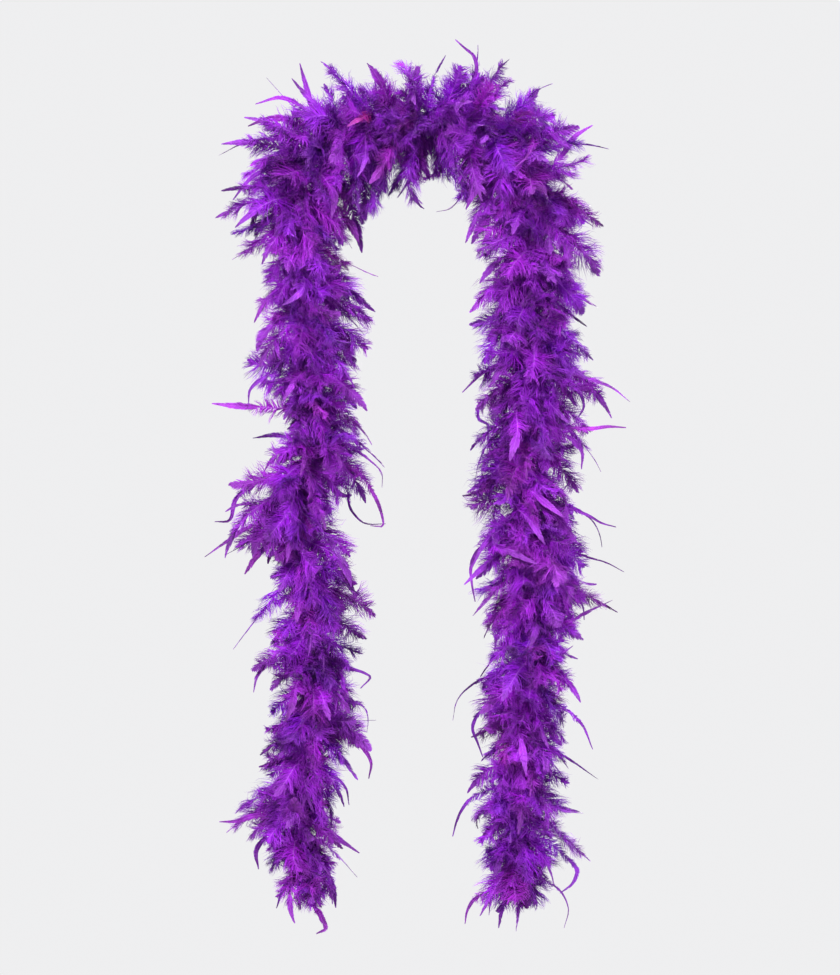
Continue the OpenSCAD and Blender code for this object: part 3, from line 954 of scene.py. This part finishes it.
# Feathers that stand alone, in mm: half the web's width, tint (0 to 1), depth of the tip, and then x and z
# of points from the fluff out to the tip
LONE = [
    # the left shoulder and the arch
    (1.5, 0.25, 10, -118, 2, -138, 22, -155, 41),
    (3.0, 0.6, -10, -112, 4, -138, 17, -164, 11),
    (4.5, 0.85, -20, -110, -14, -138, -2, -158, -4, -172, -10),
    (2.5, 0.7, 0, -140, -22, -175, -24, -202, -37),
    (4.0, 0.5, 5, -105, 0, -114, 28, -121, 53),
    (2.5, 0.3, 8, -44, 20, -46, 36, -48, 52),
    (3.0, 0.4, 0, -150, -50, -172, -62, -188, -82),
    (3.0, 0.99, -54, -48, 0, -60, -6, -72, -14),
    (2.5, 0.55, 0, 40, 10, 47, 28, 55, 43, 53, 61, 44, 69, 35, 77),
    (9.0, 0.1, 2, 92, -10, 104, 1, 114, 4, 121, -3, 124, -16),
    (9.0, 0.15, -12, 92, -22, 103, -13, 111, -12, 116, -22),
    (4.5, 0.7, -15, 122, -55, 142, -37, 155, -19, 171, -9),
    (3.0, 0.5, 0, 130, -82, 150, -88, 166, -97),
    (2.0, 0.8, -15, 52, -64, 40, -80, 29, -92, 16, -95),
    (5.0, 0.08, -20, -24, -12, -27, -32, -30, -56),
    (3.0, 0.4, -10, 10, -22, 0, -42, -10, -60, -23, -80),
    (1.5, 0.8, -52, 112, -28, 106, -42, 94, -54),
    # the left tail
    (2.5, 0.3, 0, -135, -256, -158, -262, -170, -273, -172, -288),
    (5.0, 0.8, -12, -122, -290, -150, -291, -174, -290, -208, -287),
    (4.0, 0.35, 8, -122, -320, -148, -318, -168, -321),
    (2.5, 0.6, 0, -72, -330, -52, -343, -39, -358, -39, -370),
    (2.5, 0.55, -5, -76, -366, -70, -392, -57, -406, -36, -407),
    (2.5, 0.85, -15, -62, -356, -47, -378, -39, -398, -38, -409, -50, -409),
    (3.0, 0.55, 0, -165, -366, -186, -383, -193, -404, -206, -405),
    (4.0, 0.75, 10, -150, -404, -175, -412, -195, -425, -216, -440),
    (1.5, 0.2, -10, -152, -412, -174, -426, -193, -437),
    (5.0, 0.92, 0, -145, -424, -163, -438, -176, -457),
    (4.0, 0.55, -10, -124, -542, -150, -545, -163, -559, -167, -575),
    (1.6, 0.3, 5, -84, -544, -67, -552, -56, -556, -51, -559, -60, -571),
    (1.5, 0.2, 0, -88, -603, -72, -604, -46, -604),
    (1.5, 0.3, 10, -70, -584, -56, -592, -53, -602, -54, -615),
    (3.0, 0.85, -10, -92, -612, -70, -622, -57, -632, -50, -645, -52, -661),
    (1.6, 0.25, 8, -98, -652, -82, -663, -75, -672, -72, -688),
    (3.0, 0.5, 0, -130, -656, -148, -670, -161, -688),
    (4.0, 0.8, -8, -136, -702, -166, -699, -184, -704, -201, -705),
    (4.0, 0.5, 5, -136, -702, -156, -721, -165, -735, -163, -753),
    (3.5, 0.6, -5, -104, -704, -84, -721, -62, -736),
    (3.0, 0.5, 5, -98, -726, -81, -741, -64, -760),
    (4.5, 0.35, 0, -103, -738, -94, -755, -87, -774, -85, -790),
    (4.5, 0.85, 0, -113, -762, -109, -786, -100, -800, -96, -812, -104, -817),
    (2.5, 0.3, 6, -122, -752, -137, -770, -144, -790),
    # the right tail
    (2.0, 0.5, -5, 86, -244, 62, -256, 53, -264, 42, -275),
    (4.0, 0.65, 0, 140, -256, 172, -264, 190, -271, 208, -285),
    (2.5, 0.9, 5, 140, -309, 170, -312, 188, -310, 204, -311),
    (1.8, 0.15, -5, 74, -278, 58, -291, 58, -303, 66, -307, 67, -322, 70, -340),
    (2.5, 0.3, 0, 84, -322, 68, -327, 59, -343, 53, -371),
    (1.8, 0.25, 5, 144, -266, 160, -278, 163, -289, 156, -303),
    (3.5, 0.6, -8, 126, -310, 148, -321, 160, -335, 160, -352),
    (1.6, 0.5, 0, 146, -391, 168, -399, 180, -406, 194, -410),
    (1.6, 0.35, 8, 156, -392, 173, -405, 180, -419, 182, -430),
    (1.5, 0.6, 0, 144, -432, 169, -441, 186, -446, 203, -455),
    (2.2, 0.55, 0, 76, -424, 57, -433, 50, -450, 51, -468, 54, -484),
    (4.0, 0.7, -5, 140, -508, 163, -496, 175, -490, 190, -483),
    (1.6, 0.25, 5, 140, -456, 155, -477, 162, -491, 163, -502),
    (1.6, 0.4, 0, 78, -556, 51, -568, 36, -584, 32, -603),
    (2.0, 0.2, 5, 76, -588, 58, -598, 52, -612, 57, -627, 62, -641),
    (2.0, 0.4, 0, 122, -582, 145, -592, 160, -606, 171, -631),
    (2.5, 0.3, -5, 120, -626, 147, -641, 176, -661),
    (3.0, 0.4, 5, 124, -688, 146, -695, 162, -697),
    (1.8, 0.25, 0, 72, -672, 48, -684, 37, -702, 32, -720),
    (3.0, 0.2, -5, 124, -724, 145, -740, 156, -754, 152, -766, 140, -776),
    (3.0, 0.8, 0, 80, -764, 66, -775, 53, -782, 46, -794, 44, -806),
    (2.0, 0.5, 5, 78, -762, 70, -780, 68, -797),
    (1.2, 0.5, 0, 120, -762, 142, -778, 148, -794, 144, -812),
    (4.0, 0.5, 0, 94, -770, 97, -792, 95, -812),
    (3.0, 0.4, 5, 88, -770, 82, -790, 78, -812),
    # smooth blades that lie on the front of the fluff
    (6.0, 0.6, -52, 96, -292, 96, -312, 88, -344),
    (5.0, 0.65, -50, 100, -362, 118, -381, 141, -400),
    (5.0, 0.55, -52, 94, -386, 109, -404, 122, -426),
    (4.5, 0.6, -50, 72, -428, 94, -437, 114, -446),
    (5.5, 0.65, -52, -94, -66, -86, -84, -88, -104),
    (5.0, 0.7, -50, -120, -560, -128, -588, -134, -602),
    (4.5, 0.6, -50, -100, -574, -94, -590, -90, -600),
    (5.0, 0.6, -50, 96, -600, 100, -626, 104, -654)]
LONE_FRONT = -40          # nearer ones lie on the front of the fluff, and stay there
LONE_STRAY = 18           # mm that the depth of the others may differ
LONE_BOW = 6              # mm that a feather may bow to the front or back
LONE_RISE = 8 * MM        # from a feather's first point up to the height where it leaves the cord
BROAD = 4.4               # feathers with half a web wider than this hardly twist


def lone_leaves():
    """Quills of the feathers that stand alone, from the cord through their own points."""
    curves, across, tints, halves = [], [], [], []
    u = np.linspace(0, 1, QUILL_STEPS + 1)
    for half, tint, depth, *places in LONE:
        seen = MM * np.array(places, float).reshape(-1, 2)
        s = station_of((seen[0, 0], 0, seen[0, 1] + LONE_RISE))
        ends = np.vstack([at(s)[[0, 2]], seen])
        knots = distances(ends)
        x, z = (smooth_between(knots, ends[:, k], u * knots[-1]) for k in (0, 1))
        if depth > LONE_FRONT:
            depth = depth + rng.uniform(-LONE_STRAY, LONE_STRAY)
        bow = rng.uniform(-LONE_BOW, LONE_BOW) * np.sin(math.pi * u) * u
        curves.append(np.stack([x, MM * (depth * (1 - (1 - u) ** 2) + bow), z], -1))
        way = unit(np.gradient(curves[-1], axis=0))
        flat = unit(np.cross(way, [0.0, 1.0, 0.0]))
        loose = 1 if half < BROAD else 0.25
        across.append(turned(flat, way, loose * (rng.uniform(-0.6, 0.6) + rng.uniform(-1.6, 1.6) * u)))
        tints.append(tint)
        halves.append(half * MM)
    quill = np.array(curves)
    length = np.linalg.norm(np.diff(quill, axis=1), axis=-1).sum(1)
    return {"root": quill[:, 0], "length": length, "quill": quill, "across": np.array(across),
            "tint": np.array(tints), "scale": np.ones(len(LONE))}, np.array(halves)


plume_flock = merged([
    flock_of(lumpy(cad_leaves("plumes")), "plumes"),
    flock_of(lumpy(cad_leaves("wisps")), "wisps"),
    flock_of(lumpy(loose_leaves(LOOSE_PLUMES, 44 * MM, 64 * MM, 34)), "loose plumes")])
stray_flock = flock_of(loose_leaves(STRAYS, 50 * MM, 74 * MM, 20, 100) | {"scale": np.ones(STRAYS)}, "strays")
lone, lone_halves = lone_leaves()
lone_flock = flock_of(lone, "lone")
# Widths from the table, and soft barbs to match, stand in for the drawn ones
lone_flock["vane_half"] = lone_halves
lone_flock["down_reach"] = 6 * MM + 2.4 * lone_halves
fluff_flock = flock_of(lumpy(cad_leaves("fluff")), "fluff")
loose_flock = flock_of(lumpy(loose_leaves(LOOSE_DOWN, 28 * MM, 54 * MM, 34)), "loose down")

# Piece, slot, flock, mm between down barbs, mm between the web's barbs, and the kinds of CAD node it replaces
for name, slot, flock, down_spacing, web_spacing, *kinds in (
        ("plume_feathers", "plume", plume_flock, 0.38, 0.6, "plumes", "wisps"),
        ("strays", "plume", stray_flock, 1.8, 0.6),
        ("lone_feathers", "plume", lone_flock, 0.6, 0.5),
        ("fluff_feathers", "down", fluff_flock, 0.42, 0.7, "fluff"),
        ("loose_down", "down", loose_flock, 0.42, 0.7)):
    bundles = [quills(flock), down_barbs(flock, down_spacing * MM), vane_barbs(flock, web_spacing * MM)]
    add_feathers(name, slot, flock, bundles, *kinds)

# ---------------- floor, light and the end

FLOOR_DROP = 0.19         # from the boa's lowest point to the floor
FLOOR_R = 1.2
AIM = (0, 0, -0.37)       # the middle of the boa
# Name, place, width across and power of each lamp
LIGHTS = [
    ("key", (-1.3, -2.4, 1.3), 1.0, 200), ("fill", (1.9, -1.9, 0.1), 1.6, 80),
    ("top", (0.2, 0.5, 2.0), 1.0, 70), ("rim", (0.8, 2.4, 0.6), 1.2, 110)]


def add_floor():
    """A plain pale floor under the hanging boa."""
    material, nodes, links, shader = principled("floor", (0.22, 0.22, 0.225), 0.8)
    shade = ramp(nodes, [(0.3, (0.215, 0.215, 0.22)), (0.7, (0.225, 0.225, 0.23))])
    links.new(noise(nodes, links, 6.0), shade.inputs["Fac"])
    links.new(shade.outputs["Color"], shader.inputs["Base Color"])
    bpy.ops.mesh.primitive_circle_add(vertices=96, radius=FLOOR_R, fill_type="NGON",
                                      location=(0, 0, cad_box[0][2] - FLOOR_DROP))
    floor = bpy.context.object
    floor.name = "floor"
    floor.data.materials.append(material)


def add_light(name, place, size, power):
    """A soft round lamp that shines at the boa."""
    data = bpy.data.lights.new(name, "AREA")
    data.shape = "DISK"
    data.size = size
    data.energy = power
    lamp = bpy.data.objects.new(name, data)
    lamp.location = place
    x, y, z = np.array(AIM) - np.array(place)
    lamp.rotation_euler = (math.atan2(math.hypot(x, y), -z), 0, math.atan2(y, x) - math.pi / 2)
    bpy.context.scene.collection.objects.link(lamp)


add_floor()
for light in LIGHTS:
    add_light(*light)
world = bpy.data.worlds.new("studio")
world.use_nodes = True
world.node_tree.nodes["Background"].inputs["Color"].default_value = (0.86, 0.86, 0.87, 1)
bpy.context.scene.world = world
bpy.context.scene.view_settings.view_transform = "Standard"
